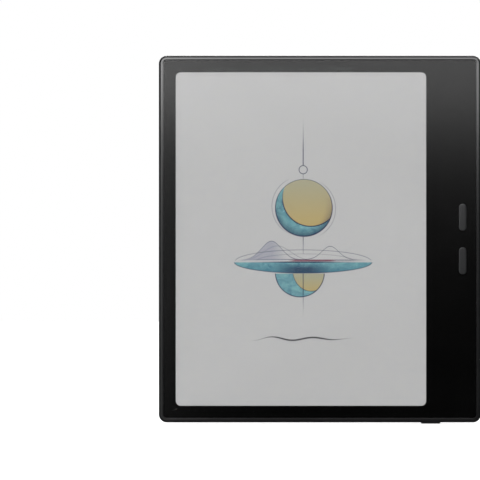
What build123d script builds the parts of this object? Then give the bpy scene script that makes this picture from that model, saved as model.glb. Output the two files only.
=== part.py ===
from build123d import *
import os

# A slim e-reader with a wide grip strip beside its screen. It stands upright: +Z runs up its
# height, +X points to the grip side and the screen faces -Y. Millimetres. The origin is under
# the middle of the body, level with the tip of the power key, which is the lowest point.

# Front face and outline
screen_width = 106.5
screen_height = 141.8
side_margin = 7.2  # from the screen to the edge away from the grip
grip_margin = 23.3  # from the screen to the grip edge
end_margin = 7.1  # above and below the screen
corner_radius = 3.4
least_corner = 0.5  # roundness kept where an inset outline runs out of radius
window_radius = 2.1

# Layers, in order from the front
glass_recess = 0.1  # glass below the crest of the rim
glass_thick = 0.5
print_thick = 0.05
adhesive_thick = 0.15
touch_thick = 0.15
guide_thick = 0.4
film_thick = 0.2
backplane_thick = 0.45
foam_thick = 0.1
chassis_thick = 0.35
tape_thick = 0.1
battery_thick = 2.35
battery_room = 0.15  # left for the cell to swell
cover_floor = 0.55
panel_thick = 0.4

# Frame and rear cover
wall = 1.6
front_bevel = 0.85
front_softening = 0.15
back_radius = 0.95
rim_width = 1.9  # from the outer edge to the pocket that holds the glass
rim_slope = 0.45  # the sloping inner part of the rim
rim_drop = 0.1
glass_gap = 0.1
glass_chamfer = 0.08
ledge_reach = 1.5
cover_edge = 1.1  # height of the rear cover's own side wall
seam_chamfer = 0.1
panel_inset = 1.75
panel_corner = 1.75
panel_softening = 0.15
rib_width = 1.6
rib_from_edge = 25.4  # middle of the rib to the grip edge
slip = 0.05  # clearance of pieces that are laid in
sliding_gap = 0.1  # clearance of pieces that move or snap in

# Snap clips of the rear cover
clip_length = 6.0
clip_thick = 0.8
clip_reach = 1.15
hook_reach = 0.35
hook_height = 0.4
side_clips = 5
end_clips = 4
clip_inset = 18.0  # from a corner to the first clip
clip_room = 1.0  # from a grip-side clip to the piece beside it

# Screws
screw_radius = 0.5
screw_head_radius = 1.0
screw_head_height = 0.35
screw_depth = 0.95
pilot_extra = 0.15
thread_gap = 0.02
boss_radius = 1.5
boss_inset = 3.0
corner_boss_inset = 3.6
pad_radius = 1.3  # raised pads under the main board

# Display module
module_border = 2.0
driver_border = 5.0  # wider border on the grip side, with the driver chips
film_border = 1.0
guide_border = 1.2
driver_width = 1.2
driver_length = 20.0
driver_thick = 0.25
driver_gap = 0.6
led_count = 10
led_length = 3.0
led_depth = 1.2
led_flex_height = 1.9
flex_thick = 0.1
flex_bend = 0.3

# Page keys in the grip strip
key_width = 3.0
key_height = 11.3
key_from_edge = 7.8
key_pitch = 18.5
key_proud = 0.7
key_crown = 0.3
key_rounding = 0.25
key_gap = 0.12
key_travel = 0.35
key_flange = 0.8  # how far the flange reaches past the cap
key_flange_thick = 0.36
key_foot_radius = 1.2
key_foot_height = 0.4
touch_gap = 0.02  # between a foot and the plunger under it
plunger_radius = 0.8
plunger_length = 0.58
switch_side = 4.2
switch_height = 0.85
switch_bore_depth = 0.7

# Grip carrier, which backs the glass behind the grip strip
carrier_skin = 0.5
carrier_gap = 1.0
carrier_rail = 1.2
carrier_end = 3.0
carrier_setback = 1.3

# Power key in the lower edge
power_width = 8.2
power_height = 2.0
power_proud = 0.55
power_from_edge = 21.35
power_travel = 0.3
power_flange = 0.9
power_flange_thick = 0.5
power_rounding = 0.3
power_switch_width = 4.6
power_switch_height = 1.4
power_switch_depth = 1.8
power_plunger_width = 1.8
power_plunger_height = 1.0
power_plunger_length = 0.83
power_bore_depth = 0.85
power_flex_width = 3.0
power_flex_overlap = 4.0
power_flex_foot = 3.4

# Main board
board_gap = 0.2
board_thick = 0.8
board_width = 22.3
board_setback = 4.2  # from the grip edge
board_hole_inset = 2.4
board_screw_radius = 0.6
board_head_radius = 1.15
board_head_height = 0.4
board_screw_length = 1.3

# USB-C socket
usb_width = 8.94
usb_height = 3.16
usb_shell = 0.25
usb_length = 7.3
usb_sunk = 0.35
usb_from_board_end = 9.0
mouth_slope = 0.2
tongue_width = 6.7
tongue_thick = 0.7
tongue_length = 4.6
tongue_block = 2.2

# Card tray and its socket
door_width = 14.0
door_height = 2.2
door_thick = 1.15
door_corner = 1.0
door_softening = 0.12
tray_width = 12.8
tray_length = 16.6
tray_thick = 1.2
tray_floor = 0.3
card_width = 11.0
card_length = 15.0
card_thick = 0.7
card_corner = 0.7
tray_from_board_end = 13.0
eject_radius = 0.45
eject_offset = 5.6
seal_thick = 0.3
socket_shell = 0.15
socket_width = 15.4
socket_height = 1.8

# Speakers and microphone
speaker_length = 17.0
speaker_width = 12.0
speaker_height = 2.2
speaker_corner = 1.0
speaker_inset = 5.5
speaker_to_board = 8.5
mesh_thick = 0.1
mesh_height = 1.8
sound_holes = 6
sound_hole_radius = 0.55
sound_hole_pitch = 2.2
microphone_length = 3.0
microphone_width = 2.0
microphone_height = 0.9
microphone_hole_radius = 0.4
microphone_from_usb = 5.5

# Chips, plugs and shield on the main board
processor_side = 11.0
processor_thick = 0.9
memory_width = 8.0
memory_height = 11.0
memory_thick = 0.8
storage_width = 9.0
storage_height = 11.5
storage_thick = 0.9
power_chip_side = 5.0
radio_chip_width = 5.0
radio_chip_height = 7.0
small_chip_side = 2.4
sensor_from_board_end = 6.5
chip_thick = 0.7
shield_width = 20.6
shield_height = 27.0
shield_depth = 1.2
shield_sheet = 0.15
chip_from_board_edge = 4.0
plug_length = 4.0
plug_thick = 0.9
display_plug_width = 15.0
display_plug_z = -22.0  # from mid-height
touch_plug_width = 5.0
light_plug_width = 2.6
light_plug_from_board_end = 3.0
light_flex_width = 1.4
battery_plug_width = 5.0
battery_plug_length = 3.0
battery_plug_thick = 0.7
battery_plug_z = -20.0
plug_from_module = 2.4

# Battery, magnets and aerial
battery_width = 88.0
battery_height = 100.0
battery_rounding = 0.6
battery_board_width = 3.5
battery_board_thick = 0.8
battery_to_board = 2.0
battery_lead_thick = 0.12
tape_width = 20.0
magnet_count = 4
magnet_length = 10.0
magnet_width = 2.0
magnet_thick = 1.8
magnet_pitch = 30.0
magnet_from_edge = 5.5
aerial_width = 40.0
aerial_height = 6.0
aerial_from_top = 6.0

# What follows from the sizes above
body_width = side_margin + screen_width + grip_margin
body_height = screen_height + 2 * end_margin
half_width = body_width / 2
half_height = body_height / 2
body_bottom = power_proud
body_mid = body_bottom + half_height
screen_x = (side_margin - grip_margin) / 2
body_depth = (
    glass_recess + glass_thick + print_thick + adhesive_thick + touch_thick + guide_thick
    + film_thick + backplane_thick + foam_thick + chassis_thick + tape_thick + battery_thick
    + battery_room + cover_floor + panel_thick
)
front_y = -body_depth / 2
back_y = body_depth / 2
glass_front = front_y + glass_recess
glass_back = glass_front + glass_thick
print_back = glass_back + print_thick
ledge_front = print_back + adhesive_thick
touch_back = ledge_front + touch_thick
guide_back = touch_back + guide_thick
film_back = guide_back + film_thick
backplane_back = film_back + backplane_thick
chassis_front = backplane_back + foam_thick
chassis_back = chassis_front + chassis_thick
board_front = chassis_back + board_gap
board_back = board_front + board_thick
port_y = (board_front + board_back) / 2
battery_front = chassis_back + tape_thick
battery_back = battery_front + battery_thick
cover_inside = battery_back + battery_room
seam_y = back_y - cover_edge
glass_inset = rim_width + glass_gap
ledge_inset = rim_width + ledge_reach
module_right = screen_x + screen_width / 2 + driver_border
key_x = half_width - key_from_edge
key_spots = [(key_x, key_pitch / 2), (key_x, -key_pitch / 2)]
power_x = half_width - power_from_edge
rib_x = half_width - rib_from_edge
board_right = half_width - board_setback
board_left = board_right - board_width
board_x = (board_left + board_right) / 2
board_half = half_height - speaker_inset - speaker_length - speaker_to_board
usb_z = usb_from_board_end - board_half
tray_z = board_half - tray_from_board_end
microphone_z = usb_z + usb_width / 2 + microphone_from_usb
microphone_y = board_back + microphone_height / 2
speaker_z = half_height - speaker_inset - speaker_length / 2
wall_inside = half_width - wall
plug_left = module_right + plug_from_module
plug_x = plug_left + plug_length / 2
plug_front = board_front - plug_thick
light_plug_z = light_plug_from_board_end - board_half
carrier_left = module_right + carrier_gap
carrier_right = half_width - ledge_inset - carrier_setback
carrier_x = (carrier_left + carrier_right) / 2
carrier_width = carrier_right - carrier_left
carrier_height = body_height - 2 * (corner_boss_inset + boss_radius + sliding_gap)
socket_front_x = wall_inside - 3 * sliding_gap
door_x = half_width - slip
tray_tip = door_x - door_thick - tray_length
socket_rear_x = tray_tip - 3 * sliding_gap - socket_shell
socket_length = socket_front_x - socket_rear_x
usb_mouth = half_width - usb_sunk
usb_rear = usb_mouth - usb_length
clip_x = wall_inside - sliding_gap - clip_thick / 2
clip_z = half_height - wall - sliding_gap - clip_thick / 2
hook_back = cover_inside - clip_reach + hook_height
battery_board_x = board_left - battery_to_board - battery_board_width / 2
battery_right = battery_board_x - battery_board_width / 2 - slip
battery_x = battery_right - battery_width / 2
battery_plug_x = board_left + plug_length / 2

screw_spots = [
    (x * (half_width - corner_boss_inset), z * (half_height - corner_boss_inset))
    for x in (-1, 1)
    for z in (-1, 1)
] + [
    (boss_inset - half_width, 0),
    (half_width - boss_inset, 0),
    (0, half_height - boss_inset),
]
board_screw_spots = [
    (x, z * (board_half - board_hole_inset))
    for x in (board_left + board_hole_inset, board_right - board_hole_inset)
    for z in (-1, 1)
]

# Clips: a full row away from the grip, one each side of the page keys, between the card tray and
# the microphone, and rows along both ends. The lower row stops short of the power key.
side_reach = half_height - clip_inset
side_spots = [(-clip_x, side_reach * (2 * i / (side_clips - 1) - 1)) for i in range(side_clips)]
side_spots += [
    (clip_x, tray_z - socket_width / 2 - clip_room - clip_length / 2),
    (clip_x, microphone_z + microphone_length / 2 + clip_room + clip_length / 2),
]
end_reach = half_width - clip_inset
end_step = 2 * end_reach / (end_clips - 1)
end_spots = [(i * end_step - end_reach, clip_z) for i in range(end_clips)]
lower_last = power_x - power_width - clip_length
lower_step = (lower_last + end_reach) / (end_clips - 2)
end_spots += [(i * lower_step - end_reach, -clip_z) for i in range(end_clips - 1)]

os.makedirs("parts", exist_ok=True)


def layer(depth):
    # Plane across the body at one depth, facing out of the screen, centred on the body
    return Plane(origin=(0, depth, body_mid), x_dir=(1, 0, 0), z_dir=(0, -1, 0))


def flank(x):
    # Plane across the grip side, facing +X: its x runs to the back and its y runs up
    return Plane(origin=(x, 0, body_mid), x_dir=(0, 1, 0), z_dir=(1, 0, 0))


def level(height):
    # Level plane, a height above the lower edge of the body
    return Plane(origin=(0, 0, body_bottom + height), x_dir=(1, 0, 0), z_dir=(0, 0, 1))


def outline(inset):
    # The body's outline, drawn in by an inset, in the sketch that calls it
    radius = max(corner_radius - inset, least_corner)
    RectangleRounded(body_width - 2 * inset, body_height - 2 * inset, radius)


def key_openings(gap, reach=0.0):
    # Two upright slots round the page keys, cut from the sketch that calls it
    grow = 2 * (gap + reach)
    with Locations(*key_spots):
        SlotOverall(key_height + grow, key_width + grow, rotation=90, mode=Mode.SUBTRACT)


# Front of the body

with BuildPart() as cover_glass:
    with BuildSketch(layer(glass_back)):
        outline(glass_inset)
        key_openings(key_gap)
    extrude(amount=glass_thick)
    front_face = cover_glass.faces().sort_by(Axis.Y)[0]
    chamfer(front_face.edges(), length=glass_chamfer)
cover_glass.part.label = "cover_glass"
export_step(cover_glass.part, "parts/cover_glass.step")

with BuildPart() as border_print:
    with BuildSketch(layer(print_back)):
        outline(glass_inset)
        with Locations((screen_x, 0)):
            RectangleRounded(screen_width, screen_height, window_radius, mode=Mode.SUBTRACT)
        key_openings(key_gap)
    extrude(amount=print_thick)
border_print.part.label = "border_print"
export_step(border_print.part, "parts/border_print.step")

# Bonds the glass to the ledge all round and to the grip carrier
with BuildPart() as glass_adhesive:
    with BuildSketch(layer(ledge_front)):
        outline(glass_inset)
        RectangleRounded(
            body_width - 2 * ledge_inset, body_height - 2 * ledge_inset, least_corner, mode=Mode.SUBTRACT
        )
        with Locations((carrier_x, 0)):
            Rectangle(carrier_width, body_height - 2 * rim_width - ledge_reach)
        key_openings(sliding_gap, key_flange)
    extrude(amount=adhesive_thick)
glass_adhesive.part.label = "glass_adhesive"
export_step(glass_adhesive.part, "parts/glass_adhesive.step")

# Display stack, bonded behind the window; its raised middle fills the opening in the print
module_width = screen_width + 2 * module_border
module_height = screen_height + 2 * module_border

with BuildPart() as optical_adhesive:
    with BuildSketch(layer(ledge_front)):
        with Locations((screen_x, 0)):
            Rectangle(module_width, module_height)
    extrude(amount=adhesive_thick)
    with BuildSketch(layer(print_back)):
        with Locations((screen_x, 0)):
            RectangleRounded(screen_width - 2 * slip, screen_height - 2 * slip, window_radius)
    extrude(amount=print_thick)
optical_adhesive.part.label = "optical_adhesive"
export_step(optical_adhesive.part, "parts/optical_adhesive.step")

with BuildPart() as touch_sensor:
    with BuildSketch(layer(touch_back)):
        with Locations((screen_x, 0)):
            Rectangle(module_width, module_height)
    extrude(amount=touch_thick)
touch_sensor.part.label = "touch_sensor"
export_step(touch_sensor.part, "parts/touch_sensor.step")

with BuildPart() as light_guide:
    with BuildSketch(layer(guide_back)):
        with Locations((screen_x, 0)):
            Rectangle(screen_width + 2 * guide_border, screen_height + 2 * guide_border)
    extrude(amount=guide_thick)
light_guide.part.label = "light_guide"
export_step(light_guide.part, "parts/light_guide.step")

with BuildPart() as epaper_film:
    with BuildSketch(layer(film_back)):
        with Locations((screen_x, 0)):
            Rectangle(screen_width + 2 * film_border, screen_height + 2 * film_border)
    extrude(amount=film_thick)
epaper_film.part.label = "epaper_film"
export_step(epaper_film.part, "parts/epaper_film.step")

backplane_left = screen_x - screen_width / 2 - module_border
backplane_width = module_right - backplane_left
backplane_x = (module_right + backplane_left) / 2

with BuildPart() as epaper_backplane:
    with BuildSketch(layer(backplane_back)):
        with Locations((backplane_x, 0)):
            Rectangle(backplane_width, module_height)
    extrude(amount=backplane_thick)
epaper_backplane.part.label = "epaper_backplane"
export_step(epaper_backplane.part, "parts/epaper_backplane.step")

with BuildPart() as display_foam:
    with BuildSketch(layer(chassis_front)):
        with Locations((backplane_x, 0)):
            Rectangle(backplane_width, module_height)
    extrude(amount=foam_thick)
display_foam.part.label = "display_foam"
export_step(display_foam.part, "parts/display_foam.step")

# Driver chips on the wide border of the backplane
driver_x = module_right - driver_border + module_border + driver_gap + driver_width / 2
with BuildPart() as driver_chips:
    with BuildSketch(layer(film_back)):
        with Locations((driver_x, 0)):
            with GridLocations(0, screen_height / 2, 1, 2):
                Rectangle(driver_width, driver_length)
    extrude(amount=driver_thick)
driver_chips.part.label = "driver_chips"
export_step(driver_chips.part, "parts/driver_chips.step")

# Front light: lamps under the lower edge of the light guide, on an L-shaped flex whose tail
# runs up beside the display to its plug
led_top = screen_height / -2 - guide_border - 2 * sliding_gap
led_flex_top = led_top + sliding_gap
tail_left = module_right + 4 * sliding_gap
tail_right = tail_left + light_flex_width
strip_left = screen_x - screen_width / 2

with BuildPart() as light_flex:
    with BuildSketch(layer(guide_back + flex_thick)):
        with BuildLine():
            Polyline(
                (strip_left, led_flex_top),
                (tail_left, led_flex_top),
                (tail_left, light_plug_z + light_flex_width / 2),
                (plug_x, light_plug_z + light_flex_width / 2),
                (plug_x, light_plug_z - light_flex_width / 2),
                (tail_right, light_plug_z - light_flex_width / 2),
                (tail_right, led_flex_top - led_flex_height),
                (strip_left, led_flex_top - led_flex_height),
                close=True,
            )
        make_face()
    extrude(amount=flex_thick)
light_flex.part.label = "light_flex"
export_step(light_flex.part, "parts/light_flex.step")

led_pitch = (screen_width - led_length) / (led_count - 1)
with BuildPart() as light_leds:
    with BuildSketch(layer(guide_back)):
        with Locations((screen_x, led_top - led_depth / 2)):
            with GridLocations(led_pitch, 0, led_count, 1):
                Rectangle(led_length, led_depth)
    extrude(amount=guide_thick)
light_leds.part.label = "light_leds"
export_step(light_leds.part, "parts/light_leds.step")

# Flexes that step down from the display to their plugs on the front of the main board
flex_half = flex_thick / 2
flex_end = plug_left - touch_gap
flex_low = board_front - plug_thick / 2
flex_turn = module_right + driver_gap

with BuildPart() as display_flex:
    with BuildSketch(level(half_height + display_plug_z - display_plug_width / 2)):
        with BuildLine():
            FilletPolyline(
                (module_right - driver_width, film_back - flex_half),
                (flex_turn, film_back - flex_half),
                (flex_end - 2 * driver_gap, flex_low),
                (flex_end, flex_low),
                radius=flex_bend,
            )
        trace(line_width=flex_thick)
    extrude(amount=display_plug_width)
display_flex.part.label = "display_flex"
export_step(display_flex.part, "parts/display_flex.step")

touch_right = screen_x + module_width / 2
guide_right = screen_x + screen_width / 2 + guide_border
touch_flex_front = touch_back + flex_half
touch_flex_step = film_back - flex_thick
with BuildPart() as touch_flex:
    with BuildSketch(level(half_height - touch_plug_width / 2)):
        with BuildLine():
            FilletPolyline(
                (guide_right + sliding_gap, touch_flex_front),
                (touch_right + module_border / 2, touch_flex_front),
                (flex_turn, touch_flex_step),
                (flex_end - driver_gap, flex_low),
                (flex_end, flex_low),
                radius=flex_bend,
            )
        trace(line_width=flex_thick)
    extrude(amount=touch_plug_width)
touch_flex.part.label = "touch_flex"
export_step(touch_flex.part, "parts/touch_flex.step")

# Frame, chassis and cover

hook_pocket = hook_reach + sliding_gap
flange_half = power_height / 2 + power_flange
power_pocket_width = power_width + 2 * (power_flange + sliding_gap)

with BuildPart() as middle_frame:
    with BuildSketch(layer(seam_y)):
        outline(0)
    extrude(amount=seam_y - front_y)
    chamfer(middle_frame.faces().sort_by(Axis.Y)[0].edges(), length=front_bevel)
    fillet(
        middle_frame.edges().filter_by(
            lambda edge: edge.center().Y < front_y + front_bevel + slip
            and edge.bounding_box().size.Y < slip
        ),
        radius=front_softening,
    )
    chamfer(middle_frame.faces().sort_by(Axis.Y)[-1].edges(), length=seam_chamfer)
    # Sloping inner part of the rim, then the pocket for the glass
    with BuildSketch(layer(front_y + rim_drop)):
        outline(rim_width)
    with BuildSketch(layer(front_y)):
        outline(rim_width - rim_slope)
    loft(mode=Mode.SUBTRACT)
    with BuildSketch(layer(ledge_front)):
        outline(rim_width)
    extrude(amount=ledge_front - front_y, mode=Mode.SUBTRACT)
    # Opening inside the ledge, and the hollow behind it
    with BuildSketch(layer(chassis_front)):
        outline(ledge_inset)
    extrude(amount=chassis_front - ledge_front, mode=Mode.SUBTRACT)
    with BuildSketch(layer(seam_y)):
        outline(wall)
    extrude(amount=seam_y - chassis_front, mode=Mode.SUBTRACT)
    # Screw bosses on the ledge, with blind pilot holes from the back
    with BuildSketch(layer(chassis_front)):
        with Locations(*screw_spots):
            Circle(boss_radius)
    extrude(amount=chassis_front - ledge_front)
    with BuildSketch(layer(chassis_front)):
        with Locations(*screw_spots):
            Circle(screw_radius + thread_gap)
    extrude(amount=screw_depth + pilot_extra, mode=Mode.SUBTRACT)
    # Openings in the grip side: USB-C, card tray, microphone, speakers
    with BuildSketch(flank(half_width)):
        with Locations((port_y, usb_z)):
            SlotOverall(usb_width + 2 * sliding_gap, usb_height + 2 * sliding_gap, rotation=90)
    extrude(amount=-ledge_inset, mode=Mode.SUBTRACT)
    # The mouth of the USB-C opening widens towards the outside
    for depth, widening in ((mouth_slope, 0), (0, mouth_slope)):
        with BuildSketch(flank(half_width - depth)):
            with Locations((port_y, usb_z)):
                SlotOverall(
                    usb_width + 2 * (sliding_gap + widening),
                    usb_height + 2 * (sliding_gap + widening),
                    rotation=90,
                )
    loft(mode=Mode.SUBTRACT)
    with BuildSketch(flank(half_width)):
        with Locations((port_y, tray_z)):
            RectangleRounded(
                door_height + 2 * sliding_gap, door_width + 2 * sliding_gap, door_corner + sliding_gap
            )
        with Locations((microphone_y, microphone_z)):
            Circle(microphone_hole_radius)
        with Locations((port_y, speaker_z), (port_y, -speaker_z)):
            with GridLocations(0, sound_hole_pitch, 1, sound_holes):
                Circle(sound_hole_radius)
    extrude(amount=-wall, mode=Mode.SUBTRACT)
    # Slot for the power key in the lower wall, with room behind it for the flange
    with BuildSketch(level(0)):
        with Locations((power_x, port_y)):
            SlotOverall(power_width + 2 * sliding_gap, power_height + 2 * sliding_gap)
    extrude(amount=wall, mode=Mode.SUBTRACT)
    with BuildSketch(level(wall)):
        with Locations((power_x, port_y)):
            Rectangle(power_pocket_width, 2 * (flange_half + sliding_gap))
    extrude(amount=ledge_reach + rim_width - wall, mode=Mode.SUBTRACT)
    # Pockets for the hooks of the rear cover
    with BuildSketch(layer(hook_back + sliding_gap)):
        with Locations(*[(x + clip_thick / 2 * (1 if x > 0 else -1), z) for x, z in side_spots]):
            Rectangle(2 * hook_pocket, clip_length + 2 * sliding_gap)
        with Locations(*[(x, z + clip_thick / 2 * (1 if z > 0 else -1)) for x, z in end_spots]):
            Rectangle(clip_length + 2 * sliding_gap, 2 * hook_pocket)
    extrude(amount=hook_height + 2 * sliding_gap, mode=Mode.SUBTRACT)
middle_frame.part.label = "middle_frame"
export_step(middle_frame.part, "parts/middle_frame.step")

window_gap = 3 * sliding_gap
plug_window = plug_length + plug_from_module + 2 * window_gap
plug_window_x = module_right + plug_window / 2
usb_window = half_width - usb_rear + window_gap
socket_window = half_width - socket_rear_x + window_gap

with BuildPart() as chassis_plate:
    with BuildSketch(layer(chassis_back)):
        outline(wall + sliding_gap)
        with Locations(*key_spots):
            Rectangle(switch_side + 2 * window_gap, switch_side + 2 * window_gap, mode=Mode.SUBTRACT)
        with Locations((plug_window_x, display_plug_z)):
            Rectangle(plug_window, display_plug_width + 2 * window_gap, mode=Mode.SUBTRACT)
        with Locations((plug_window_x, 0)):
            Rectangle(plug_window, touch_plug_width + 2 * window_gap, mode=Mode.SUBTRACT)
        with Locations((plug_x, light_plug_z)):
            Rectangle(
                plug_length + 2 * window_gap, light_plug_width + 2 * window_gap, mode=Mode.SUBTRACT
            )
        with Locations((half_width - usb_window / 2, usb_z)):
            Rectangle(usb_window, usb_width + 2 * window_gap, mode=Mode.SUBTRACT)
        with Locations((half_width - socket_window / 2, tray_z)):
            Rectangle(socket_window, socket_width + 2 * window_gap, mode=Mode.SUBTRACT)
        with Locations((power_x, -half_height)):
            Rectangle(
                power_pocket_width,
                2 * (wall + power_flange_thick + power_travel + sliding_gap + slip),
                mode=Mode.SUBTRACT,
            )
        with Locations(*screw_spots):
            Circle(screw_radius + sliding_gap, mode=Mode.SUBTRACT)
        with Locations(*board_screw_spots):
            Circle(board_screw_radius + thread_gap, mode=Mode.SUBTRACT)
    extrude(amount=chassis_thick)
    with BuildSketch(layer(board_front)):
        with Locations(*board_screw_spots):
            Circle(pad_radius)
            Circle(board_screw_radius + thread_gap, mode=Mode.SUBTRACT)
    extrude(amount=board_gap)
chassis_plate.part.label = "chassis_plate"
export_step(chassis_plate.part, "parts/chassis_plate.step")

with BuildPart() as chassis_screws:
    with BuildSketch(layer(chassis_back + screw_head_height)):
        with Locations(*screw_spots):
            Circle(screw_head_radius)
    extrude(amount=screw_head_height)
    with BuildSketch(layer(chassis_back)):
        with Locations(*screw_spots):
            Circle(screw_radius)
    extrude(amount=chassis_thick + screw_depth)
chassis_screws.part.label = "chassis_screws"
export_step(chassis_screws.part, "parts/chassis_screws.step")

# Backs the glass behind the grip strip and guides the flanges of the page keys
carrier_back = ledge_front + carrier_skin
carrier_rib = chassis_front - carrier_back
with BuildPart() as grip_carrier:
    with BuildSketch(layer(carrier_back)):
        with Locations((carrier_x, 0)):
            Rectangle(carrier_width, carrier_height)
        key_openings(sliding_gap, key_flange)
    extrude(amount=carrier_skin)
    with BuildSketch(layer(chassis_front)):
        with Locations((carrier_right - carrier_rail / 2, 0)):
            Rectangle(carrier_rail, carrier_height)
        with Locations((plug_x, 0)):
            with GridLocations(0, carrier_height - carrier_end, 1, 2):
                Rectangle(plug_length, carrier_end)
        with Locations(*key_spots):
            SlotOverall(
                key_height + 2 * (key_flange + sliding_gap),
                key_width + 2 * (key_flange + sliding_gap),
                rotation=90,
                mode=Mode.SUBTRACT,
            )
        with Locations((carrier_right, usb_z)):
            Rectangle(2 * usb_length, usb_width + 2 * window_gap, mode=Mode.SUBTRACT)
        with Locations((carrier_right, tray_z)):
            Rectangle(2 * socket_length, socket_width + 2 * window_gap, mode=Mode.SUBTRACT)
    extrude(amount=carrier_rib)
grip_carrier.part.label = "grip_carrier"
export_step(grip_carrier.part, "parts/grip_carrier.step")

panel_height = body_height - 2 * panel_inset
main_left = panel_inset - half_width
main_right = rib_x - rib_width / 2
grip_left = rib_x + rib_width / 2
grip_right = half_width - panel_inset
panels = {
    "rear_main_panel": ((main_left + main_right) / 2, main_right - main_left),
    "rear_grip_panel": ((grip_left + grip_right) / 2, grip_right - grip_left),
}

with BuildPart() as rear_cover:
    with BuildSketch(layer(back_y)):
        outline(0)
    extrude(amount=cover_edge)
    fillet(rear_cover.faces().sort_by(Axis.Y)[-1].edges(), radius=back_radius)
    chamfer(rear_cover.faces().sort_by(Axis.Y)[0].edges(), length=seam_chamfer)
    with BuildSketch(layer(cover_inside)):
        outline(wall)
    extrude(amount=cover_inside - seam_y, mode=Mode.SUBTRACT)
    with BuildSketch(layer(back_y)):
        for middle, width in panels.values():
            with Locations((middle, 0)):
                RectangleRounded(width, panel_height, panel_corner)
    extrude(amount=panel_thick, mode=Mode.SUBTRACT)
    # Clips that snap into the frame
    with BuildSketch(layer(cover_inside)):
        with Locations(*side_spots):
            Rectangle(clip_thick, clip_length)
        with Locations(*end_spots):
            Rectangle(clip_length, clip_thick)
    extrude(amount=clip_reach)
    with BuildSketch(layer(hook_back)):
        for x, z in side_spots:
            with Locations((x + hook_reach / 2 * (1 if x > 0 else -1), z)):
                Rectangle(clip_thick + hook_reach, clip_length)
        for x, z in end_spots:
            with Locations((x, z + hook_reach / 2 * (1 if z > 0 else -1))):
                Rectangle(clip_length, clip_thick + hook_reach)
    extrude(amount=hook_height)
rear_cover.part.label = "rear_cover"
export_step(rear_cover.part, "parts/rear_cover.step")

for name, (middle, width) in panels.items():
    with BuildPart() as panel:
        with BuildSketch(layer(back_y)):
            with Locations((middle, 0)):
                RectangleRounded(width - 2 * slip, panel_height - 2 * slip, panel_corner - slip)
        extrude(amount=panel_thick)
        fillet(panel.faces().sort_by(Axis.Y)[-1].edges(), radius=panel_softening)
    panel.part.label = name
    export_step(panel.part, f"parts/{name}.step")

# Page keys, their plungers and their switches

flange_front = print_back + touch_gap
flange_back = flange_front + key_flange_thick
foot_back = flange_back + key_foot_height
cap_front = glass_front - key_proud
plunger_front = foot_back + touch_gap
switch_front = board_front - switch_height
crown_radius = ((key_width / 2) ** 2 + key_crown**2) / (2 * key_crown)

for name, (x, z) in zip(("page_up", "page_down"), key_spots):
    with BuildPart() as key:
        with BuildSketch(layer(flange_front)):
            with Locations((x, z)):
                SlotOverall(key_height, key_width, rotation=90)
        extrude(amount=flange_front - cap_front)
        # The cap is crowned from side to side
        with BuildSketch(level(half_height + z - key_height / 2)):
            with Locations((x, cap_front + crown_radius)):
                Circle(crown_radius)
            with Locations((x, flange_front)):
                Rectangle(key_width + 2 * key_flange, 2 * (flange_front - cap_front - key_crown))
        extrude(amount=key_height, mode=Mode.INTERSECT)
        fillet(
            key.edges().filter_by(GeomType.LINE, reverse=True).group_by(Axis.Y)[0],
            radius=key_rounding,
        )
        with BuildSketch(layer(flange_back)):
            with Locations((x, z)):
                SlotOverall(key_height + 2 * key_flange, key_width + 2 * key_flange, rotation=90)
        extrude(amount=key_flange_thick)
        with BuildSketch(layer(foot_back)):
            with Locations((x, z)):
                Circle(key_foot_radius)
        extrude(amount=key_foot_height)
    key.part.label = f"{name}_key"
    export_step(key.part, f"parts/{name}_key.step")

    with BuildPart() as plunger:
        with BuildSketch(layer(plunger_front + plunger_length)):
            with Locations((x, z)):
                Circle(plunger_radius)
        extrude(amount=plunger_length)
    plunger.part.label = f"{name}_plunger"
    export_step(plunger.part, f"parts/{name}_plunger.step")

    with BuildPart() as switch:
        with BuildSketch(layer(board_front)):
            with Locations((x, z)):
                Rectangle(switch_side, switch_side)
        extrude(amount=switch_height)
        with BuildSketch(layer(switch_front + switch_bore_depth)):
            with Locations((x, z)):
                Circle(plunger_radius + sliding_gap)
        extrude(amount=switch_bore_depth, mode=Mode.SUBTRACT)
    switch.part.label = f"{name}_switch"
    export_step(switch.part, f"parts/{name}_switch.step")

# Power key, its plunger, its switch and the flex that carries the switch

power_flange_top = wall + slip + power_flange_thick
power_plunger_foot = power_flange_top + touch_gap
power_switch_foot = power_flange_top + power_travel + sliding_gap
power_switch_front = chassis_back + flex_thick
power_switch_y = power_switch_front + power_switch_height / 2

with BuildPart() as power_key:
    with BuildSketch(level(-power_proud)):
        with Locations((power_x, port_y)):
            SlotOverall(power_width, power_height)
    extrude(amount=power_proud + wall + slip)
    fillet(power_key.faces().sort_by(Axis.Z)[0].edges(), radius=power_rounding)
    with BuildSketch(level(wall + slip)):
        with Locations((power_x, port_y)):
            Rectangle(power_width + 2 * power_flange, 2 * flange_half)
    extrude(amount=power_flange_thick)
power_key.part.label = "power_key"
export_step(power_key.part, "parts/power_key.step")

with BuildPart() as power_plunger:
    with BuildSketch(level(power_plunger_foot)):
        with Locations((power_x, power_switch_y)):
            Rectangle(power_plunger_width, power_plunger_height)
    extrude(amount=power_plunger_length)
power_plunger.part.label = "power_plunger"
export_step(power_plunger.part, "parts/power_plunger.step")

with BuildPart() as power_switch:
    with BuildSketch(level(power_switch_foot)):
        with Locations((power_x, power_switch_y)):
            Rectangle(power_switch_width, power_switch_height)
            Rectangle(
                power_plunger_width + sliding_gap, power_plunger_height + sliding_gap, mode=Mode.SUBTRACT
            )
    extrude(amount=power_bore_depth)
    with BuildSketch(level(power_switch_foot + power_bore_depth)):
        with Locations((power_x, power_switch_y)):
            Rectangle(power_switch_width, power_switch_height)
    extrude(amount=power_switch_depth - power_bore_depth)
power_switch.part.label = "power_switch"
export_step(power_switch.part, "parts/power_switch.step")

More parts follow.
